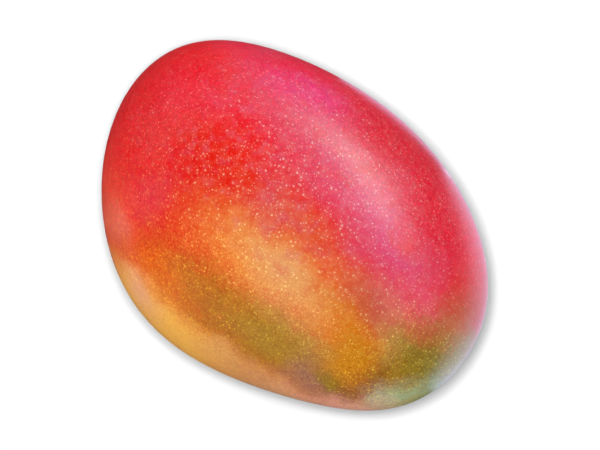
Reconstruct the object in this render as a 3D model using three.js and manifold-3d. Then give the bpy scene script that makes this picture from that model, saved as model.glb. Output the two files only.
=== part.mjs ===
// A ripe mango, picked and lying on one of its two flat cheeks.
//
// The fruit is one solid. Its surface is a sphere of directions, each drawn out to the skin by a
// short formula: +X is the way to the apex, -X the way to the stem, +Y and -Y are the two edges of
// the fruit and +Z is the upper cheek. The origin is on the table, under the middle of the fruit.
// All sizes are in millimetres.

import Module from "manifold-3d";
import * as THREE from "three";
import { mergeVertices } from "three/addons/utils/BufferGeometryUtils.js";

// Driving dimensions.
const HALF_LENGTH = 59;
const HALF_WIDTH = 43.3;
const HALF_THICKNESS = 38.8;
const FLAT_SPOT_CUT = 0.45;

// Polynomials in x, which runs from -1 at the stem end to +1 at the apex, lowest power first.
const WIDTH_ALONG = [1, -0.08, -0.05, 0.08, 0.1];
const THICKNESS_ALONG = [1, -0.06, 0, 0.06];
const LEAN_ALONG = [0, 0.09, 0.08, -0.24, 0, 0.085];

// The edge on the +Y side is the blunter one, so the fruit is thicker there.
const BLUNT_EDGE = 0.04;

// Small forms on the skin: where each is, how wide on the unit sphere and how high in millimetres.
const STEM = new THREE.Vector3(-0.92, 0.14, -0.37).normalize();
const DIMPLE = { centre: STEM, spread: 0.15, height: -2.6 };
const SHOULDER = { centre: STEM, spread: 0.34, height: 0.9 };
const BEAK = { centre: new THREE.Vector3(0.93, -0.24, -0.28).normalize(), spread: 0.12, height: 0.8 };
const SCAR_HEIGHT = 0.9;
const SCAR_EDGE = { inner: 0.05, outer: 0.085 };

// Fineness of the surface: rows of triangles along an edge of the icosahedron, less one, and how
// much closer together the points stand round the stem.
const DETAIL = 18;
const STEM_CROWDING = 0.55;

// Only a box this big is needed to cut the flat spot.
const CUTTER_SIZE = 100;

const SKIN = new THREE.MeshStandardMaterial({ color: 0xd9553a, roughness: 0.42, metalness: 0 });

const wasm = await Module();
wasm.setup();

function polynomial(coefficients, x) {
  return coefficients.reduceRight((sum, coefficient) => sum * x + coefficient, 0);
}

// The direction moved toward the stem, by nothing at the stem itself and at the far end.
function crowdTowardStem(direction) {
  const angle = direction.angleTo(STEM);
  const drawnIn = (STEM_CROWDING * Math.sin(angle) * (1 + Math.cos(angle))) / 2;
  const axis = new THREE.Vector3().crossVectors(STEM, direction).normalize();
  return STEM.clone().applyAxisAngle(axis, angle - drawnIn);
}

// The bare body of the fruit, with none of its small forms.
function bodyPoint(n) {
  const across = n.y * polynomial(WIDTH_ALONG, n.x) + polynomial(LEAN_ALONG, n.x);
  const up = n.z * polynomial(THICKNESS_ALONG, n.x) * (1 + BLUNT_EDGE * n.y);
  return new THREE.Vector3(HALF_LENGTH * n.x, HALF_WIDTH * across, HALF_THICKNESS * up);
}

function swelling(form, n) {
  const distance = n.distanceTo(form.centre) / form.spread;
  return form.height * Math.exp(-distance * distance);
}

// A round scab with a clear edge, left where the stalk was.
function scar(n) {
  const distance = n.distanceTo(STEM);
  return SCAR_HEIGHT * (1 - THREE.MathUtils.smoothstep(distance, SCAR_EDGE.inner, SCAR_EDGE.outer));
}

function skinPoint(n) {
  const outward = new THREE.Vector3(n.x / HALF_LENGTH, n.y / HALF_WIDTH, n.z / HALF_THICKNESS);
  const height = swelling(SHOULDER, n) + swelling(DIMPLE, n) + swelling(BEAK, n) + scar(n);
  return bodyPoint(n).addScaledVector(outward.normalize(), height);
}

function roundFruit() {
  const geometry = new THREE.IcosahedronGeometry(1, DETAIL);
  const position = geometry.getAttribute("position");
  const direction = new THREE.Vector3();
  for (let i = 0; i < position.count; i += 1) {
    direction.fromBufferAttribute(position, i).normalize();
    const point = skinPoint(crowdTowardStem(direction));
    position.setXYZ(i, point.x, point.y, point.z);
  }
  return geometry;
}

// A closed solid from a geometry, whose corners are shared once only its positions are left.
function toSolid(geometry) {
  geometry.deleteAttribute("normal");
  geometry.deleteAttribute("uv");
  const merged = mergeVertices(geometry);
  const vertProperties = merged.getAttribute("position").array;
  const triVerts = new Uint32Array(merged.getIndex().array);
  return new wasm.Manifold(new wasm.Mesh({ numProp: 3, vertProperties, triVerts }));
}

function toGeometry(solid) {
  const { vertProperties, triVerts } = solid.getMesh();
  const geometry = new THREE.BufferGeometry();
  geometry.setAttribute("position", new THREE.BufferAttribute(vertProperties, 3));
  geometry.setIndex(new THREE.BufferAttribute(triVerts, 1));
  return geometry;
}

// The fruit with a small flat spot under its lower cheek, where it rests.
function restingFruit() {
  const fruit = roundFruit();
  fruit.computeBoundingBox();
  const cutLevel = fruit.boundingBox.min.z + FLAT_SPOT_CUT;
  const cutter = new THREE.BoxGeometry(CUTTER_SIZE, CUTTER_SIZE, CUTTER_SIZE);
  cutter.translate(0, 0, cutLevel - CUTTER_SIZE / 2);
  return toGeometry(toSolid(fruit).subtract(toSolid(cutter)));
}

// Stands the fruit on the table, with the origin under the middle of its box.
function centreOnTable(geometry) {
  geometry.computeBoundingBox();
  const { min, max } = geometry.boundingBox;
  geometry.translate(-(min.x + max.x) / 2, -(min.y + max.y) / 2, -min.z);
  geometry.computeVertexNormals();
  return geometry;
}

const fruit = new THREE.Mesh(centreOnTable(restingFruit()), SKIN);
fruit.name = "mango";

const mango = new THREE.Group();
mango.add(fruit);

export default mango;
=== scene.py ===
"""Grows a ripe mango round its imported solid, colours its skin and lights it softly.

The fruit lies on its cheek with +X toward the apex, -X toward the stem, +Y toward its redder edge
and +Z up. Everything is in metres, and the skin's marks are placed in the same frame.
"""

import math

import bpy
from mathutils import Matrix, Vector


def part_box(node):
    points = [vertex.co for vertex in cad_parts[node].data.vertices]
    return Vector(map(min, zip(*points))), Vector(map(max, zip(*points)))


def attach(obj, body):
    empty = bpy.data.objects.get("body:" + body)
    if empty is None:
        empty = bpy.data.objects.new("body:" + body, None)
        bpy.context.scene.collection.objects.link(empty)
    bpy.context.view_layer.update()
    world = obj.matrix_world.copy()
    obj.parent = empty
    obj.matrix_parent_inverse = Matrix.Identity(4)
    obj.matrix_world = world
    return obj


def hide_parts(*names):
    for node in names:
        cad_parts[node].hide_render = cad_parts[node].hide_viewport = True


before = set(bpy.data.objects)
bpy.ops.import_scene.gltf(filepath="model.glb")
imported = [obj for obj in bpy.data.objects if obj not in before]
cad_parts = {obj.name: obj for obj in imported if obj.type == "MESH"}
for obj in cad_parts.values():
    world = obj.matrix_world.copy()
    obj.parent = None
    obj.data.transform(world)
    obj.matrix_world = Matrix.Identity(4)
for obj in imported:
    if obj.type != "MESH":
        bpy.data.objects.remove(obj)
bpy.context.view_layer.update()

bl_info = {
    "name": "Ripe Mango",
    "version": (1, 0, 0),
    "blender": (4, 5, 0),
    "location": "3D View > Sidebar > Mango",
    "description": "Grows a ripe mango with a blushed, speckled skin and lights it softly",
    "category": "Object",
}

MM = 0.001
FRUIT_NODE = "mango"
FRUIT_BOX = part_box(FRUIT_NODE)
MIDDLE_HEIGHT = (FRUIT_BOX[0].z + FRUIT_BOX[1].z) / 2

# The rule of the fruit's shape, shared with its solid. Polynomials run in x from -1 at the stem end
# to +1 at the apex, lowest power first. Places and widths are on a sphere of radius 1.
WIDTH_ALONG = (1, -0.08, -0.05, 0.08, 0.1)
THICKNESS_ALONG = (1, -0.06, 0, 0.06)
LEAN_ALONG = (0, 0.09, 0.08, -0.24, 0, 0.085)
BLUNT_EDGE = 0.04
STEM = Vector((-0.92, 0.14, -0.37)).normalized()
BEAK = Vector((0.93, -0.24, -0.28)).normalized()
DIMPLE_SPREAD, DIMPLE_HEIGHT = 0.15, -2.6 * MM
SHOULDER_SPREAD, SHOULDER_HEIGHT = 0.34, 0.9 * MM
BEAK_SPREAD, BEAK_HEIGHT = 0.12, 0.8 * MM
SCAR_INNER, SCAR_OUTER, SCAR_HEIGHT = 0.05, 0.085, 0.9 * MM
CRUST_HEIGHT = 1.2 * MM
STEM_CROWDING = 0.55
# The skin reads how far it is from the stem and from the beak, on the same sphere, by these names.
STEM_DISTANCE, BEAK_DISTANCE = "stem_distance", "beak_distance"

# The camera looks straight down, turned about its own axis, and frames this much of the floor.
VIEW_TURN = math.radians(38.5)
VIEW_WIDTH = 164.3 * MM
VIEW_CENTRE = Vector((0.8 * MM, 3.7 * MM))
SENSOR_WIDTH = 36.0

# Lamps, in degrees and metres from the fruit's middle: azimuth from +X toward +Y, then elevation.
KEY_HEIGHT = 0.53
WALL_ELEVATION, WALL_DISTANCE, WALL_SIZE = 12, 0.8, (0.7, 0.3)
# The azimuth of each wall and its share of the walls' power.
WALLS = ((0, 0.9), (90, 1.65), (180, 1.2), (270, 1.15))
STREAK_PLACE, STREAK_SIZE, STREAK_ROLL = (80, 27, 1.0), (0.85, 0.11), -34
STREAK_COLOUR = (0.66, 0.94, 0.82)
# Cards on the floor that shine up at the rim: the place and size of each.
SHEENS = (((0.14, 0.044, 0.002), (0.23, 0.14)), ((0.006, 0.056, 0.002), (0.05, 0.03)))
SHEEN_COLOUR = (0.55, 0.7, 1.0)


def paint(red, green, blue):
    """A linear colour from the 0 to 255 values that a colour chart gives."""
    def linear(value):
        share = value / 255
        return share / 12.92 if share <= 0.04045 else ((share + 0.055) / 1.055) ** 2.4

    return (linear(red), linear(green), linear(blue))


# ---------------------------------------------------------------- node trees


class Wire:
    """An output socket whose sums and products become maths nodes in its own tree."""

    def __init__(self, graph, socket):
        self.graph = graph
        self.socket = socket

    def __add__(self, other):
        return self.graph.maths("ADD", self, other)

    def __radd__(self, other):
        return self.graph.maths("ADD", other, self)

    def __sub__(self, other):
        return self.graph.maths("SUBTRACT", self, other)

    def __rsub__(self, other):
        return self.graph.maths("SUBTRACT", other, self)

    def __mul__(self, other):
        return self.graph.maths("MULTIPLY", self, other)

    def __rmul__(self, other):
        return self.graph.maths("MULTIPLY", other, self)

    def __truediv__(self, other):
        return self.graph.maths("DIVIDE", self, other)

    def also(self, name):
        """Another output of the same node."""
        return Wire(self.graph, find_socket(self.socket.node.outputs, name))


def find_socket(sockets, key):
    if isinstance(key, int):
        return sockets[key]
    return next(s for s in sockets if s.enabled and key in (s.name, s.identifier))


def is_vector(value):
    if isinstance(value, Wire):
        return value.socket.type in {"VECTOR", "RGBA"}
    return isinstance(value, (tuple, Vector))


class Graph:
    """A shader or geometry tree that is being written."""

    def __init__(self, tree):
        self.tree = tree
        tree.nodes.clear()

    def node(self, kind, settings=None, sockets=None, output=0):
        """Adds a node, gives it its settings and then its sockets' values or links."""
        node = self.tree.nodes.new(kind)
        for name, value in (settings or {}).items():
            setattr(node, name, value)
        for name, value in (sockets or {}).items():
            self.feed(find_socket(node.inputs, name), value)
        return Wire(self, find_socket(node.outputs, output)) if node.outputs else node

    def feed(self, socket, value):
        if isinstance(value, Wire):
            self.tree.links.new(value.socket, socket)
        elif socket.type == "RGBA":
            socket.default_value = (*value, 1)
        else:
            socket.default_value = value

    def maths(self, operation, *values):
        """A Math node, or a Vector Math node where any of the values is a vector."""
        if any(is_vector(value) for value in values):
            values = [v if is_vector(v) or isinstance(v, Wire) else (v, v, v) for v in values]
            kind = "ShaderNodeVectorMath"
        else:
            kind = "ShaderNodeMath"
        return self.node(kind, {"operation": operation}, dict(enumerate(values)))

    def length(self, vector):
        node = {"operation": "LENGTH"}
        return self.node("ShaderNodeVectorMath", node, {0: vector}, "Value")

    def dot(self, one, other):
        node = {"operation": "DOT_PRODUCT"}
        return self.node("ShaderNodeVectorMath", node, {0: one, 1: other}, "Value")

    def split(self, vector):
        x = self.node("ShaderNodeSeparateXYZ", None, {0: vector})
        return x, x.also("Y"), x.also("Z")

    def join(self, x, y, z):
        return self.node("ShaderNodeCombineXYZ", None, {0: x, 1: y, 2: z})

    def polynomial(self, coefficients, x):
        total = coefficients[-1]
        for coefficient in coefficients[-2::-1]:
            total = total * x if not coefficient else total * x + coefficient
        return total

    def fade(self, value, start, end, low=0.0, high=1.0):
        """Runs smoothly from low at start to high at end, and stays there on both sides."""
        return self.node(
            "ShaderNodeMapRange",
            {"interpolation_type": "SMOOTHSTEP"},
            {"Value": value, "From Min": start, "From Max": end, "To Min": low, "To Max": high},
        )

    def mix(self, share, one, other):
        """The first colour where share is 0 and the second where it is 1."""
        values = {"Factor": share, "A": one, "B": other}
        return self.node("ShaderNodeMix", {"data_type": "RGBA"}, values, "Result")

    def noise(self, vector, scale, detail=2.0, roughness=0.5, output="Fac"):
        return self.node(
            "ShaderNodeTexNoise",
            None,
            {"Vector": vector, "Scale": scale, "Detail": detail, "Roughness": roughness},
            output,
        )


# ---------------------------------------------------------------- settings


class FruitShape(bpy.types.PropertyGroup):
    """Sizes of the fruit."""

    half_length: bpy.props.FloatProperty(
        name="Half length", description="From the middle to the apex", default=59 * MM,
        unit="LENGTH", precision=4,
    )
    half_width: bpy.props.FloatProperty(
        name="Half width", description="From the middle to an edge", default=43.3 * MM,
        unit="LENGTH", precision=4,
    )
    half_thickness: bpy.props.FloatProperty(
        name="Half thickness", description="From the middle to a cheek", default=38.8 * MM,
        unit="LENGTH", precision=4,
    )
    flat_spot_cut: bpy.props.FloatProperty(
        name="Flat spot cut", description="How deep the resting spot is", default=0.45 * MM,
        unit="LENGTH", precision=5,
    )
    fineness: bpy.props.IntProperty(
        name="Fineness", description="Times that the surface is subdivided", default=7, min=4, max=7
    )
    undulation: bpy.props.FloatProperty(
        name="Undulation", description="Height of the broad, faint unevenness", default=0.35 * MM,
        unit="LENGTH", precision=5,
    )
    wrinkle: bpy.props.FloatProperty(
        name="Stem wrinkles", description="Height of the creases round the stem scar",
        default=0.3 * MM, unit="LENGTH", precision=5,
    )
    seed: bpy.props.IntProperty(
        name="Seed", description="Moves the unevenness to another part of its noise", default=3
    )


def colour_property(name, description, values):
    return bpy.props.FloatVectorProperty(
        name=name, description=description, subtype="COLOR", size=3, min=0, max=1,
        default=paint(*values),
    )


class SkinLook(bpy.types.PropertyGroup):
    """Colours and marks of the skin."""

    red: colour_property("Red", "The blush's main colour", (205, 5, 15))
    crimson: colour_property("Crimson", "The deep colour of the stem end", (200, 0, 15))
    raspberry: colour_property("Raspberry", "The upper edge", (205, 0, 50))
    vermilion: colour_property("Vermilion", "The hot red of the cheek", (195, 0, 0))
    brick: colour_property("Brick", "The blush's edge at the apex", (185, 40, 20))
    cherry: colour_property("Cherry", "The red edge", (190, 5, 35))
    pink: colour_property("Pink", "The bright flank", (190, 65, 90))
    magenta: colour_property("Magenta", "The hottest part of the flank", (205, 30, 105))
    rose: colour_property("Rose", "The flank near the apex", (195, 65, 105))
    scarlet: colour_property("Scarlet", "Between red and orange", (200, 40, 10))
    tangerine: colour_property("Tangerine", "The edge of the heart", (195, 40, 25))
    orange: colour_property("Orange", "The heart of the cheek", (215, 120, 45))
    apricot: colour_property("Apricot", "The palest part of the heart", (205, 140, 85))
    amber: colour_property("Amber", "The ripe side of the heart", (190, 105, 10))
    gold: colour_property("Gold", "The ripe patch near the apex", (175, 105, 0))
    rust: colour_property("Rust", "Where the blush meets the green", (165, 65, 15))
    copper: colour_property("Copper", "The stem's end of the dull band", (205, 85, 0))
    umber: colour_property("Umber", "The brown beside the gold", (100, 45, 0))
    ochre: colour_property("Ochre", "The dull band under the heart", (155, 80, 0))
    tan: colour_property("Tan", "Round the ripe patch", (165, 120, 55))
    olive: colour_property("Olive", "The green of the dull band", (145, 100, 25))
    dun: colour_property("Dun", "The greyed end of the band", (140, 85, 80))
    salmon: colour_property("Salmon", "The blush thinned out", (210, 65, 45))
    melon: colour_property("Melon", "The warm part of the pale edge", (200, 60, 20))
    peach: colour_property("Peach", "The pale edge", (220, 155, 65))
    dusty: colour_property("Dusty", "The pale edge near the apex", (210, 140, 125))
    moss: colour_property("Moss", "The green patch at the apex", (120, 95, 0))
    sage: colour_property("Sage", "The unblushed apex", (85, 120, 55))
    yellow: colour_property("Yellow", "The shaded underside", (215, 165, 60))
    bloom: colour_property("Bloom", "The thin wax on the skin", (130, 160, 120))
    pore_yellow: colour_property("Yellow pore", "What pores add to the green side", (185, 175, 30))
    pore_cream: colour_property("Cream pore", "What pores add to the blush", (120, 170, 160))
    cork: colour_property("Cork", "The dried scar of the stalk", (105, 75, 50))
    # Wax with painted sheen: a pale grey-white that is partly the skin's wax and partly a painted
    # reflection of the white floor on the apex's lower rim.
    wax: colour_property("Wax", "The thick wax at the apex", (170, 180, 160))
    speckle_spacing: bpy.props.FloatProperty(
        name="Speckle spacing", description="Size of the cells that hold a large pore each",
        default=1.6 * MM, unit="LENGTH", precision=5,
    )
    speckle_radius: bpy.props.FloatProperty(
        name="Speckle radius", description="Radius of the largest pores", default=0.38 * MM,
        unit="LENGTH", precision=5,
    )
    roughness: bpy.props.FloatProperty(
        name="Roughness", description="Of the bare skin", default=0.34, min=0, max=1
    )


class SoftStage(bpy.types.PropertyGroup):
    """Floor, lights and camera."""

    floor_colour: colour_property("Floor", "The pale ground", (240, 240, 240))
    floor_glow: bpy.props.FloatProperty(
        name="Floor glow", description="Light that comes up through the pale floor", default=0.02
    )
    floor_width: bpy.props.FloatProperty(
        name="Floor width", description="Side of the square floor", default=8.0, unit="LENGTH"
    )
    key_power: bpy.props.FloatProperty(
        name="Key power", description="Of the lamp over the fruit, in watts", default=2.37
    )
    key_offset: bpy.props.FloatProperty(
        name="Key offset", description="How far the key stands to the stem's side of the camera",
        default=0.015, unit="LENGTH",
    )
    key_width: bpy.props.FloatProperty(
        name="Key width", description="Side of the key; wider gives softer shadows",
        default=0.05, unit="LENGTH",
    )
    surround: bpy.props.FloatProperty(
        name="Surround", description="Strength of the even light from all round", default=0.08
    )
    reflected_surround: bpy.props.FloatProperty(
        name="Reflected surround", description="Strength of the surround in reflections", default=0.045
    )
    wall_power: bpy.props.FloatProperty(
        name="Wall power", description="Of a soft wall beside the fruit, in watts", default=2.85
    )
    streak_power: bpy.props.FloatProperty(
        name="Streak power", description="Of the soft box that makes the highlight, in watts",
        default=5.5,
    )
    sheen_power: bpy.props.FloatProperty(
        name="Sheen power", description="Of the cards that make the pale rim, in watts a square metre",
        default=4.5,
    )
    lens: bpy.props.FloatProperty(
        name="Lens", description="Focal length in millimetres", default=150.0
    )


# ---------------------------------------------------------------- the fruit's shape


def crowd_toward_stem(graph, direction):
    """Draws the directions in toward the stem, where the smallest forms are."""
    cosine = graph.dot(direction, tuple(STEM))
    angle = graph.maths("ARCCOSINE", graph.maths("MINIMUM", graph.maths("MAXIMUM", cosine, -1), 1))
    sine = graph.maths("MAXIMUM", graph.maths("SINE", angle), 1e-4)
    drawn_in = STEM_CROWDING / 2 * sine * (1 + cosine)
    ahead = graph.maths("SINE", angle - drawn_in) / sine
    back = graph.maths("SINE", drawn_in) / sine
    moved = direction * ahead + graph.join(back, back, back) * tuple(STEM)
    return graph.maths("NORMALIZE", moved)


def swelling(graph, distance, spread, height):
    share = distance / spread
    return height * graph.maths("EXPONENT", 0 - share * share)


def declare_sockets(tree, shape, skin):
    """Gives the tree its named inputs and its output, and returns each input's value by identifier."""
    inputs = (
        ("Half Length", "Float", shape.half_length),
        ("Half Width", "Float", shape.half_width),
        ("Half Thickness", "Float", shape.half_thickness),
        ("Flat Spot Cut", "Float", shape.flat_spot_cut),
        ("Undulation", "Float", shape.undulation),
        ("Wrinkle", "Float", shape.wrinkle),
        ("Fineness", "Int", shape.fineness),
        ("Seed", "Int", shape.seed),
        ("Skin", "Material", skin),
    )
    values = {}
    for name, kind, value in inputs:
        socket = tree.interface.new_socket(name, in_out="INPUT", socket_type="NodeSocket" + kind)
        values[socket.identifier] = value
    tree.interface.new_socket("Geometry", in_out="OUTPUT", socket_type="NodeSocketGeometry")
    return values


def small_forms(graph, given, n, from_stem, from_beak):
    """How far the skin stands off the bare body: the stem's and the beak's forms and unevenness."""
    seed = given.also("Seed")
    drift = graph.join(seed, seed * 7, seed * 3)
    broad = graph.noise(n * 1.6 + drift, 1.0, 1.0) - 0.5
    # The outline seen from above keeps to the solid's.
    away_from_outline = graph.fade(graph.maths("ABSOLUTE", graph.split(n)[2]), 0.1, 0.7)
    toward_stem = n - graph.join(from_stem, from_stem, from_stem) * tuple(STEM)
    creases = graph.noise(toward_stem * 9.0 + drift, 1.6, 3.0, 0.6) - 0.5
    round_scar = graph.fade(from_stem, 0.06, 0.13) * graph.fade(from_stem, 0.2, 0.5, 1.0, 0.0)
    crust = graph.noise(n * 40.0 + drift, 1.5, 3.0, 0.7) - 0.5
    scar = graph.fade(from_stem, SCAR_INNER, SCAR_OUTER, 1.0, 0.0)
    return (
        swelling(graph, from_stem, SHOULDER_SPREAD, SHOULDER_HEIGHT)
        + swelling(graph, from_stem, DIMPLE_SPREAD, DIMPLE_HEIGHT)
        + swelling(graph, from_beak, BEAK_SPREAD, BEAK_HEIGHT)
        + scar * (SCAR_HEIGHT + crust * CRUST_HEIGHT)
        + broad * away_from_outline * given.also("Undulation") * 2
        + creases * round_scar * given.also("Wrinkle") * 2
    )


def build_fruit_tree(shape, skin):
    """The fruit's geometry tree: a sphere of directions, each drawn out to the skin."""
    tree = bpy.data.node_groups.new("Mango fruit", "GeometryNodeTree")
    values = declare_sockets(tree, shape, skin)
    graph = Graph(tree)
    given = graph.node("NodeGroupInput")
    half_length = given.also("Half Length")
    half_width = given.also("Half Width")
    half_thickness = given.also("Half Thickness")

    n = crowd_toward_stem(graph, graph.node("GeometryNodeInputPosition"))
    x, y, z = graph.split(n)
    across = y * graph.polynomial(WIDTH_ALONG, x) + graph.polynomial(LEAN_ALONG, x)
    up = z * graph.polynomial(THICKNESS_ALONG, x) * (1 + BLUNT_EDGE * y)
    body = graph.join(half_length * x, half_width * across, half_thickness * up)
    outward = graph.maths("NORMALIZE", graph.join(x / half_length, y / half_width, z / half_thickness))
    from_stem = graph.length(n - tuple(STEM))
    from_beak = graph.length(n - tuple(BEAK))
    point_x, point_y, point_z = graph.split(
        body + outward * small_forms(graph, given, n, from_stem, from_beak)
    )
    lowest = given.also("Flat Spot Cut") - half_thickness
    point = graph.join(point_x, point_y, graph.maths("MAXIMUM", point_z, lowest))

    ball = graph.node("GeometryNodeMeshIcoSphere", None, {"Radius": 1.0})
    graph.feed(ball.socket.node.inputs["Subdivisions"], given.also("Fineness"))
    marked = ball
    for name, distance in ((STEM_DISTANCE, from_stem), (BEAK_DISTANCE, from_beak)):
        marked = graph.node(
            "GeometryNodeStoreNamedAttribute",
            {"data_type": "FLOAT", "domain": "POINT"},
            {"Geometry": marked, "Name": name, "Value": distance},
        )
    grown = graph.node("GeometryNodeSetPosition", None, {"Geometry": marked, "Position": point})
    smooth = graph.node("GeometryNodeSetShadeSmooth", None, {"Geometry": grown})
    real = graph.node("GeometryNodeRealizeInstances", None, {"Geometry": smooth})
    dressed = {"Geometry": real, "Material": given.also("Skin")}
    done = graph.node("GeometryNodeSetMaterial", None, dressed)
    graph.node("NodeGroupOutput", None, {"Geometry": done})
    return tree, values


def mesh_from_tree(name, tree, values):
    """Evaluates a geometry tree once, and keeps the result as an object with a plain mesh."""
    carrier = bpy.data.objects.new(name + "_grown", bpy.data.meshes.new(name + "_seed"))
    bpy.context.scene.collection.objects.link(carrier)
    modifier = carrier.modifiers.new("Grow", "NODES")
    modifier.node_group = tree
    for identifier, value in values.items():
        modifier[identifier] = value
    depsgraph = bpy.context.evaluated_depsgraph_get()
    mesh = bpy.data.meshes.new_from_object(carrier.evaluated_get(depsgraph), depsgraph=depsgraph)
    mesh.name = name
    bpy.data.objects.remove(carrier)
    piece = bpy.data.objects.new(name, mesh)
    bpy.context.scene.collection.objects.link(piece)
    return piece


def fit_to_box(mesh, low, high):
    """Moves and very slightly scales a mesh so that it fills the box of the solid it stands for."""
    corners = [vertex.co for vertex in mesh.vertices]
    own_low = Vector([min(c[i] for c in corners) for i in range(3)])
    own_high = Vector([max(c[i] for c in corners) for i in range(3)])
    size, own_size = high - low, own_high - own_low
    for vertex in mesh.vertices:
        vertex.co = Vector(
            [low[i] + (vertex.co[i] - own_low[i]) * size[i] / own_size[i] for i in range(3)]
        )


# ---------------------------------------------------------------- the skin

# Scales of the skin's noises, per millimetre, from the broadest drift to the finest grain.
STRAY_SCALE, DRIFT_SCALE, WANDER_SCALE = 0.06, 0.07, 0.3
HAZE_SCALE, RAGGED_SCALE, GRAIN_SCALE = 0.4, 0.9, 1.8
# How far the patches drift, in millimetres, and how uneven the edges of the ellipses are.
DRIFT_REACH, WANDER_REACH, STRAY_REACH, RAGGEDNESS = 8, 3, 40.0, 0.45
# Each size of pore: its spacing and its radius as shares of the largest, and its cells' shift.
PORE_SIZES = ((1.0, 1.0, 0.0), (0.7, 0.7, 17.0), (0.45, 0.42, 31.0))
BUMP_HEIGHT = 0.05 * MM

# Patches of colour on the upper cheek, painted in this order: colour, centre, half sizes, turn in
# degrees, how soft the edge is and how strong the colour. Centres and sizes are in millimetres.
BODY_PATCHES = (
    ("vermilion", (-34, 0), (10, 8), -20, 0.9, 0.75),
    ("pink", (-8, 27), (32, 11), -8, 0.8, 0.85),
    ("pink", (-38, 15), (7, 5), 10, 0.9, 0.35),
    ("magenta", (-19, 33), (13, 4), 8, 0.9, 0.7),
    ("rose", (25, 11), (26, 12), -20, 0.7, 0.95),
    ("scarlet", (-2, 4), (26, 8), -2, 0.9, 0.9),
    ("pink", (-8, 1), (6, 5), 0, 0.9, 0.5),
    ("pink", (-11, 12), (8, 5), 0, 0.9, 0.3),
    ("apricot", (1, 2), (12, 5), 0, 0.9, 0.3),
    ("tangerine", (1, -10), (25, 12), 8, 0.7, 0.9),
    ("amber", (20, -14), (25, 9), 4, 0.7, 0.95),
    ("ochre", (8, -29), (31, 7), 2, 0.7, 0.95),
    ("ochre", (-2, -22), (18, 3), -4, 0.9, 0.3),
    ("scarlet", (-21, -18), (6, 8), 0, 0.9, 0.35),
    ("orange", (1, -10), (19, 8), 0, 0.8, 1.0),
    ("apricot", (5, -8.5), (13, 5.5), -5, 0.9, 0.95),
)
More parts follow.
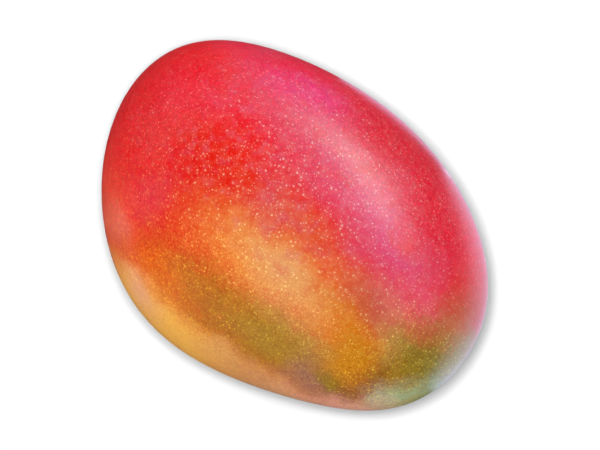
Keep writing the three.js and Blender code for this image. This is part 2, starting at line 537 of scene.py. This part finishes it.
EDGE_PATCHES = (
    ("crimson", (-63, 4), (13, 42), 0, 0.6, 1.0),
    ("crimson", (-50, 15), (9, 15), 10, 0.7, 1.0),
    ("crimson", (-39, -3), (8, 5), 0, 0.9, 0.4),
    ("vermilion", (-38, -12), (7, 5), 0, 0.9, 0.4),
    ("pink", (-35, -16), (6, 6), 0, 0.9, 0.28),
    ("raspberry", (-46, 12), (6, 7), 0, 0.9, 0.3),
    ("vermilion", (-23, -12), (5, 4), 0, 0.9, 0.3),
    ("raspberry", (-32, 38), (26, 6), 18, 0.7, 0.95),
    ("raspberry", (-2, 43), (24, 4), -2, 0.7, 0.95),
    ("pink", (-36, 36), (5, 3), 20, 0.9, 0.3),
    ("cherry", (11, 36), (20, 7), -6, 0.7, 0.95),
    ("cherry", (30, 27), (21, 7), -37, 0.7, 0.95),
    ("pink", (14, 30), (5, 3), -20, 0.9, 0.35),
    ("pink", (33, 18), (6, 4), -30, 0.9, 0.4),
    ("salmon", (38, 7), (8, 6), 0, 0.9, 0.35),
    ("salmon", (25, 18), (5, 3), -20, 0.9, 0.4),
    ("cherry", (21, 25), (4, 3), -30, 0.9, 0.3),
    ("raspberry", (-24, 37), (6, 3), 10, 0.9, 0.3),
    ("brick", (50, 17), (7, 9), 0, 0.9, 0.8),
    ("salmon", (-40, -29), (15, 7), -42, 0.8, 0.9),
    ("vermilion", (-26, -25), (5, 3), 20, 0.9, 0.35),
    ("rust", (49, 3), (5, 3), 0, 0.9, 0.45),
    ("dusty", (32, 0), (8, 4), 0, 0.9, 0.3),
    ("dusty", (34, -37), (27, 8), 22, 0.6, 0.95),
    ("dusty", (43, -25.5), (8, 4), 30, 0.9, 1.0),
    ("dusty", (-37, -29), (6, 4), -30, 0.9, 0.35),
    ("melon", (-28, -36), (16, 5), -25, 0.7, 0.9),
    ("apricot", (16, -37), (16, 5), 6, 0.8, 0.6),
    ("peach", (-14, -42), (26, 9), -2, 0.5, 1.0),
    ("dusty", (-22, -37), (7, 3), -15, 0.9, 0.55),
    ("apricot", (5, -37), (6, 3), 0, 0.9, 0.6),
    ("tan", (13, -36), (13, 4), 4, 0.9, 0.3),
    ("amber", (26, -7), (10, 4), 0, 0.9, 0.6),
    ("orange", (19, 1), (7, 4), 0, 0.9, 0.35),
    ("rust", (30, -1), (9, 4), -12, 0.9, 0.6),
    ("copper", (-21, -28), (10, 5), -8, 0.9, 0.6),
    ("rust", (-22, -22), (8, 4), 0, 0.9, 0.3),
    ("olive", (-10, -24), (9, 4), 0, 0.9, 0.4),
    ("dun", (13, -17.5), (14, 3.5), 0, 0.9, 0.3),
    ("tan", (20, -20), (14, 3), 0, 0.9, 0.7),
    ("tan", (40, -6), (5, 8), 0, 0.9, 0.9),
    ("olive", (16, -25), (16, 5), 0, 0.8, 0.95),
    ("olive", (28, -24), (6, 3), 0, 0.9, 0.5),
    ("dun", (27, -23), (5, 3), 0, 0.9, 0.3),
    ("dun", (31, -26), (8, 3), 20, 0.9, 0.85),
    ("umber", (42, -16), (6, 6), 0, 0.9, 0.8),
    ("umber", (37, -23), (6, 3), 20, 0.9, 0.7),
    ("gold", (33, -16), (6, 7), 0, 0.8, 0.95),
    ("rust", (50, 10), (6, 6), 0, 0.9, 0.75),
    ("tan", (54, 4), (6, 6), 0, 0.9, 0.5),
    ("moss", (48, -6), (7, 10), 15, 0.7, 0.95),
    ("sage", (57, -5), (5, 12), 6, 0.7, 0.9),
    ("bloom", (53, -17), (8, 5), 40, 0.8, 0.9),
    ("moss", (50, -2), (4, 4), 0, 0.9, 0.6),
    # Pale grey-white near the apex's lower rim: partly wax, partly a painted reflection.
    ("wax", (46, -19), (4, 3), 0, 0.9, 0.3),
    ("moss", (33, -24), (3, 2.5), 0, 0.9, 0.6),
    ("rust", (43, 2), (6, 3), 0, 0.9, 0.5),
    ("bloom", (59, 5), (3.5, 8), 0, 0.8, 0.25),
    # Pale grey-white on the apex's lower rim: partly wax, partly a painted reflection of the floor.
    ("wax", (58, -13), (4, 7), 10, 0.9, 0.4),
    ("dusty", (58, -1), (4, 6), 0, 0.9, 0.3),
    ("dusty", (52, -20), (5, 3), 40, 0.9, 0.4),
)


def patch_mask(graph, plan, swapped, ragged, centre, reach, turn, soft, strength):
    """A ragged, soft-edged ellipse in the plan of the fruit: strength inside and 0 outside.

    The plan's x and y come once in their own order and once swapped, to be turned together.
    """
    cosine, sine = math.cos(math.radians(turn)), math.sin(math.radians(turn))
    (x, y), (length, width) = centre, reach
    offset = (-(cosine * x + sine * y) / length, (sine * x - cosine * y) / width, 0)
    own = graph.maths("MULTIPLY_ADD", plan, (cosine / length, cosine / width, 0), offset)
    if turn:
        own = graph.maths("MULTIPLY_ADD", swapped, (sine / length, -sine / width, 0), own)
    return graph.fade(graph.length(own) + ragged, 1 - soft, 1 + soft, strength, 0.0)


def speckles(graph, place, spacing, radius):
    """Round pores of one size: 1 in the middle of the strongest ones, 0 on bare skin."""
    cells = graph.node(
        "ShaderNodeTexVoronoi", {"feature": "F1"}, {"Vector": place, "Scale": 1 / spacing}, "Distance"
    )
    strength = graph.split(cells.also("Color"))[0]
    size = radius / spacing
    core = graph.fade(cells, size * 0.2, size, 0.85, 0.0)
    halo = graph.fade(cells, 0.0, size * 2.2, 0.15, 0.0)
    return (core + halo) * graph.fade(strength, -0.2, 1.0)


def mark_ends(graph, look, colour, grain):
    """The corky scar of the stalk in its sallow ring, and the brown point of the beak."""
    distances = []
    for name in (STEM_DISTANCE, BEAK_DISTANCE):
        stored = {"attribute_type": "GEOMETRY", "attribute_name": name}
        distances.append(graph.node("ShaderNodeAttribute", stored, None, "Fac") + (grain - 0.5) * 0.03)
    from_stem, from_beak = distances
    colour = graph.mix(graph.fade(from_stem, 0.24, 0.1, 0.0, 0.6), colour, look.olive)
    cork = graph.mix(graph.fade(from_stem, 0.02, 0.08), look.umber, look.cork)
    scar = graph.fade(from_stem, 0.1, 0.08)
    colour = graph.mix(scar, colour, cork * graph.fade(grain, 0.3, 0.7, 0.6, 1.3))
    colour = graph.mix(graph.fade(from_beak, 0.07, 0.02, 0.0, 0.8), colour, look.umber)
    return colour, scar


def warp(graph, place, broad, height):
    """The place that the patches read: it drifts at three scales, and far off on the lower cheek."""
    drift = graph.noise(broad, DRIFT_SCALE, 3.0, 0.5, "Color") - 0.5
    wander = graph.noise(broad, WANDER_SCALE, 2.0, 0.5, "Color") - 0.5
    stray = graph.noise(place, STRAY_SCALE, 2.0, 0.5, "Color") - 0.5
    side = graph.fade(height, 8.0, -12.0, 0.0, STRAY_REACH)
    lean = graph.maths("MINIMUM", height - 8.0, 0.0) * 0.25
    # Below its widest level the fruit keeps the colours of its rim.
    depth = graph.maths("MINIMUM", height, 0.0) / (MIDDLE_HEIGHT / MM)
    widened = place / graph.maths("SQRT", 1 - graph.maths("MINIMUM", depth * depth, 0.8))
    drifting = widened + drift * DRIFT_REACH + wander * WANDER_REACH
    return drifting + stray * side + graph.join(lean, 0.0, 0.0)


def paint_cheek(graph, look, warped, broad, across):
    """The patches of the upper cheek, with a cool and a warm mottling between their two groups."""
    x, y, z = graph.split(warped)
    swapped = graph.join(y, x, z)
    ragged = (graph.noise(broad, RAGGED_SCALE, 2.0, 0.6) - 0.5) * RAGGEDNESS

    def painted(colour, patches):
        for name, *form in patches:
            mask = patch_mask(graph, warped, swapped, ragged, *form)
            colour = graph.mix(mask, colour, tuple(getattr(look, name)))
        return colour

    colour = painted(tuple(look.red), BODY_PATCHES)
    cool, warm, light = graph.split(graph.noise(broad, WANDER_SCALE, 2.0, 0.5, "Color"))
    cool = graph.fade(cool, 0.45, 0.8) * graph.fade(across, -20.0, 4.0, 0.0, 0.5)
    colour = graph.mix(cool, colour, look.pink)
    colour = graph.mix(graph.fade(warm, 0.45, 0.8, 0.0, 0.35), colour, look.tangerine)
    return painted(colour, EDGE_PATCHES), light


def paint_under(graph, look, colour, place, along, across, height):
    """The lower cheek: sallow on the -Y side, greener to the apex, and red on the +Y side."""
    meander = (graph.noise(place, STRAY_SCALE, 3.0, 0.6) - 0.5) * 30.0
    raised = graph.fade(along, 38.0, 56.0, 0.0, 20.0)
    upper = graph.fade(height + meander - raised, -26.0, -4.0)
    sallow = graph.mix(graph.fade(along + meander, 20.0, 60.0, 0.0, 0.7), look.yellow, look.olive)
    sallow = graph.mix(graph.fade(along, 46.0, 58.0, 0.0, 0.7), sallow, look.sage)
    under = graph.mix(graph.fade(across + meander, -10.0, 30.0), sallow, look.red)
    return graph.mix(upper, under, colour)


def scatter_pores(graph, look, place, along):
    """Pale pores of three sizes, the largest ones weaker toward the apex."""
    spacing, radius = look.speckle_spacing / MM, look.speckle_radius / MM
    large, middling, small = (
        speckles(graph, place + shift, spacing * apart, radius * wide)
        for apart, wide, shift in PORE_SIZES
    )
    toward_apex = graph.fade(along, -5.0, 20.0, 0.6, 0.5)
    larger = graph.maths("MAXIMUM", large * toward_apex, middling * 0.7)
    return graph.maths("MAXIMUM", larger, small * 0.8)


def pale_layer(graph, pores, grain, place, along, zones):
    """How strong the pale marks are: pores, haze and grain, strongest in the middle of the cheek."""
    yellowish, apex = zones
    central = graph.length((place - (-4, 0, 0)) * (1 / 42, 1 / 36, 0))
    haze, crowd = graph.split(graph.noise(place, HAZE_SCALE, 1.0, 0.5, "Color"))[:2]
    pale = pores * graph.fade(crowd, 0.3, 0.7, 0.7, 1.15) + graph.fade(haze, 0.35, 0.75, -0.01, 0.05)
    pale = pale * (graph.fade(central, 0.3, 1.4, 1.3, 0.5) + apex * 0.9)
    pale = pale * graph.fade(along, -45.0, -15.0, 0.6, 1.0)
    return pale + graph.fade(grain, 0.35, 0.75, 0.0, 0.12) * (0.15 + yellowish)


def shade_grain(graph, grain, flush, light, along, across, zones):
    """The fine light and dark of the skin, as a factor for each of red, green and blue.

    On the yellow side all three go together; in the blush the red varies on its own.
    """
    yellowish, apex = zones
    rim = graph.maths("MAXIMUM", graph.fade(across, 5.0, 30.0), graph.fade(along, -25.0, -45.0))
    rough = 0.16 + yellowish * 0.07 + apex * 0.15 + rim * 0.2
    rough = rough * graph.fade(across, -32.0, -40.0, 1.0, 0.5)
    calm = rough * (0.8 + apex * 0.2) + rim * 0.08
    broken = graph.fade(across, -14.0, -24.0) * graph.fade(across, -40.0, -30.0, 0.2, 1.0) * 0.25
    own = flush + (grain - flush) * yellowish
    light = light - 0.5
    shade = graph.fade(grain, 0.2, 0.8, 1 - rough, 1 + rough) + light * (0.08 + broken)
    red_shade = graph.fade(own, 0.2, 0.8, 1 - calm, 1 + calm) + light * (0.02 + broken)
    return graph.join(red_shade, shade, shade)


def build_skin(look):
    """The skin's material, which reads places in millimetres from the fruit's origin."""
    skin = bpy.data.materials.new("mango_skin")
    skin.use_nodes = True
    graph = Graph(skin.node_tree)
    place = graph.node("ShaderNodeTexCoord", None, None, "Object") / MM
    along, across, up = graph.split(place)
    height = up - MIDDLE_HEIGHT / MM
    broad = place * (1, 1, 0.5)

    warped = warp(graph, place, broad, height)
    colour, light = paint_cheek(graph, look, warped, broad, across)
    colour = paint_under(graph, look, colour, place, along, across, height)
    grain, flush = graph.split(graph.noise(place, GRAIN_SCALE, 3.0, 0.8, "Color"))[:2]
    colour, scar = mark_ends(graph, look, colour, grain)

    yellowish = graph.fade(across, 2.0, -22.0) * graph.fade(along, -45.0, -20.0)
    apex = graph.fade(along, 24.0, 44.0) * graph.fade(across, 12.0, 0.0)
    zones = (yellowish, apex)
    pores = scatter_pores(graph, look, place, along)
    pale = pale_layer(graph, pores, grain, place, along, zones) * (1 - scar)
    creamy = graph.fade(across, -32.0, 18.0) * (1 - apex * 0.8)
    tint = graph.mix(creamy, look.pore_yellow, look.pore_cream)
    shades = shade_grain(graph, grain, flush, light, along, across, zones)
    colour = colour * shades + graph.join(pale, pale, pale) * tint

    bump = {"Height": grain * 0.6 + pores * 0.4, "Distance": BUMP_HEIGHT, "Strength": 1.0}
    relief = graph.node("ShaderNodeBump", None, bump)
    surface = {"Base Color": colour, "Roughness": look.roughness + scar * 0.4, "Normal": relief}
    shader = graph.node("ShaderNodeBsdfPrincipled", None, surface)
    graph.node("ShaderNodeOutputMaterial", None, {"Surface": shader})
    return skin


# ---------------------------------------------------------------- operators


class MANGO_OT_grow_fruit(bpy.types.Operator):
    """Grow the fruit's fine surface and give it its skin"""

    bl_idname = "mango.grow_fruit"
    bl_label = "Grow Fruit"

    def execute(self, context):
        scene = context.scene
        skin = build_skin(scene.mango_skin)
        tree, values = build_fruit_tree(scene.mango_shape, skin)
        fruit = mesh_from_tree("ripe_mango", tree, values)
        if len(fruit.data.polygons) == 0:
            raise RuntimeError("the fruit's geometry tree gave no faces")
        fit_to_box(fruit.data, *FRUIT_BOX)
        # No red light from the skin reaches the floor, so that the shadow stays grey.
        fruit.visible_diffuse = False
        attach(fruit, "root")
        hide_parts(FRUIT_NODE)
        return {"FINISHED"}


def aim(thing, target):
    thing.rotation_euler = (target - thing.location).to_track_quat("-Z", "Y").to_euler()


def around(azimuth, elevation, distance):
    """A place round the fruit's middle: degrees from +X toward +Y, degrees up, and metres away."""
    turn, climb = math.radians(azimuth), math.radians(elevation)
    level = distance * math.cos(climb)
    return Vector(
        (level * math.cos(turn), level * math.sin(turn), MIDDLE_HEIGHT + distance * math.sin(climb))
    )


def add_soft_box(
    name, location, target, size, power, roll=0, colour=(1, 1, 1), glossy=True, diffuse=True,
    shape="RECTANGLE",
):
    light = bpy.data.lights.new(name, "AREA")
    light.shape = shape
    light.size, light.size_y = size
    light.energy = power
    light.color = colour
    lamp = bpy.data.objects.new(name, light)
    lamp.location = location
    bpy.context.scene.collection.objects.link(lamp)
    aim(lamp, target)
    lamp.rotation_euler.rotate_axis("Z", math.radians(roll))
    lamp.visible_glossy = glossy
    lamp.visible_diffuse = diffuse
    lamp.visible_camera = False


class MANGO_OT_set_stage(bpy.types.Operator):
    """Lay the pale floor, hang the soft lights and set up the camera"""

    bl_idname = "mango.set_stage"
    bl_label = "Set Stage"

    def execute(self, context):
        stage = context.scene.mango_stage
        self.lay_floor(stage)
        self.hang_lights(context.scene, stage)
        self.set_camera(context.scene, stage)
        return {"FINISHED"}

    def lay_floor(self, stage):
        half = stage.floor_width / 2
        corners = [(-half, -half, 0), (half, -half, 0), (half, half, 0), (-half, half, 0)]
        mesh = bpy.data.meshes.new("floor")
        mesh.from_pydata(corners, [], [(0, 1, 2, 3)])
        material = bpy.data.materials.new("pale_floor")
        material.use_nodes = True
        graph = Graph(material.node_tree)
        shader = graph.node(
            "ShaderNodeBsdfPrincipled",
            None,
            {
                "Base Color": tuple(stage.floor_colour),
                "Roughness": 1.0,
                "Specular IOR Level": 0.0,
                "Emission Color": (1, 1, 1),
                "Emission Strength": stage.floor_glow,
            },
        )
        graph.node("ShaderNodeOutputMaterial", None, {"Surface": shader})
        mesh.materials.append(material)
        floor = bpy.data.objects.new("floor", mesh)
        floor.visible_glossy = False
        bpy.context.scene.collection.objects.link(floor)

    def hang_lights(self, scene, stage):
        middle = Vector((0, 0, MIDDLE_HEIGHT))
        over = Vector((*VIEW_CENTRE, MIDDLE_HEIGHT + KEY_HEIGHT))
        over.x -= stage.key_offset
        key_size = (stage.key_width, stage.key_width)
        add_soft_box("key", over, middle, key_size, stage.key_power, glossy=False)
        for azimuth, share in WALLS:
            wall = around(azimuth, WALL_ELEVATION, WALL_DISTANCE)
            power = stage.wall_power * share
            add_soft_box(f"wall_{azimuth}", wall, middle, WALL_SIZE, power, glossy=False)
        add_soft_box(
            "streak", around(*STREAK_PLACE), middle, STREAK_SIZE, stage.streak_power,
            roll=STREAK_ROLL, colour=STREAK_COLOUR, diffuse=False,
        )
        for place, size in SHEENS:
            card, power = Vector(place), stage.sheen_power * size[0] * size[1]
            over_card = card + Vector((0, 0, 1))
            add_soft_box(
                "sheen", card, over_card, size, power, colour=SHEEN_COLOUR, diffuse=False,
                shape="ELLIPSE",
            )
        world = bpy.data.worlds.new("soft_surround")
        world.use_nodes = True
        graph = Graph(world.node_tree)
        seen = graph.node("ShaderNodeLightPath", None, None, "Is Camera Ray")
        reflected = seen.also("Is Glossy Ray")
        strength = (
            stage.surround
            + seen * (1 - stage.surround)
            - reflected * (stage.surround - stage.reflected_surround)
        )
        light = graph.node("ShaderNodeBackground", None, {"Color": (1, 1, 1), "Strength": strength})
        graph.node("ShaderNodeOutputWorld", None, {"Surface": light})
        scene.world = world
        scene.view_settings.view_transform = "Standard"

    def set_camera(self, scene, stage):
        data = bpy.data.cameras.new("camera")
        data.lens = stage.lens
        data.sensor_width = SENSOR_WIDTH
        camera = bpy.data.objects.new("camera", data)
        distance = VIEW_WIDTH * stage.lens / SENSOR_WIDTH
        camera.location = (*VIEW_CENTRE, MIDDLE_HEIGHT + distance)
        camera.rotation_euler = (0, 0, VIEW_TURN)
        scene.collection.objects.link(camera)
        scene.camera = camera


class MANGO_PT_panel(bpy.types.Panel):
    """The mango's settings and steps"""

    bl_label = "Ripe Mango"
    bl_idname = "MANGO_PT_panel"
    bl_space_type = "VIEW_3D"
    bl_region_type = "UI"
    bl_category = "Mango"

    def draw(self, context):
        scene = context.scene
        for settings in (scene.mango_shape, scene.mango_skin, scene.mango_stage):
            box = self.layout.box()
            for name in settings.__annotations__:
                box.prop(settings, name)
        self.layout.operator(MANGO_OT_grow_fruit.bl_idname)
        self.layout.operator(MANGO_OT_set_stage.bl_idname)


CLASSES = (FruitShape, SkinLook, SoftStage, MANGO_OT_grow_fruit, MANGO_OT_set_stage, MANGO_PT_panel)


def register():
    for cls in CLASSES:
        bpy.utils.register_class(cls)
    bpy.types.Scene.mango_shape = bpy.props.PointerProperty(type=FruitShape)
    bpy.types.Scene.mango_skin = bpy.props.PointerProperty(type=SkinLook)
    bpy.types.Scene.mango_stage = bpy.props.PointerProperty(type=SoftStage)


def unregister():
    del bpy.types.Scene.mango_stage
    del bpy.types.Scene.mango_skin
    del bpy.types.Scene.mango_shape
    for cls in reversed(CLASSES):
        bpy.utils.unregister_class(cls)


def main():
    register()
    bpy.ops.mango.grow_fruit()
    bpy.ops.mango.set_stage()


if __name__ == "__main__":
    main()
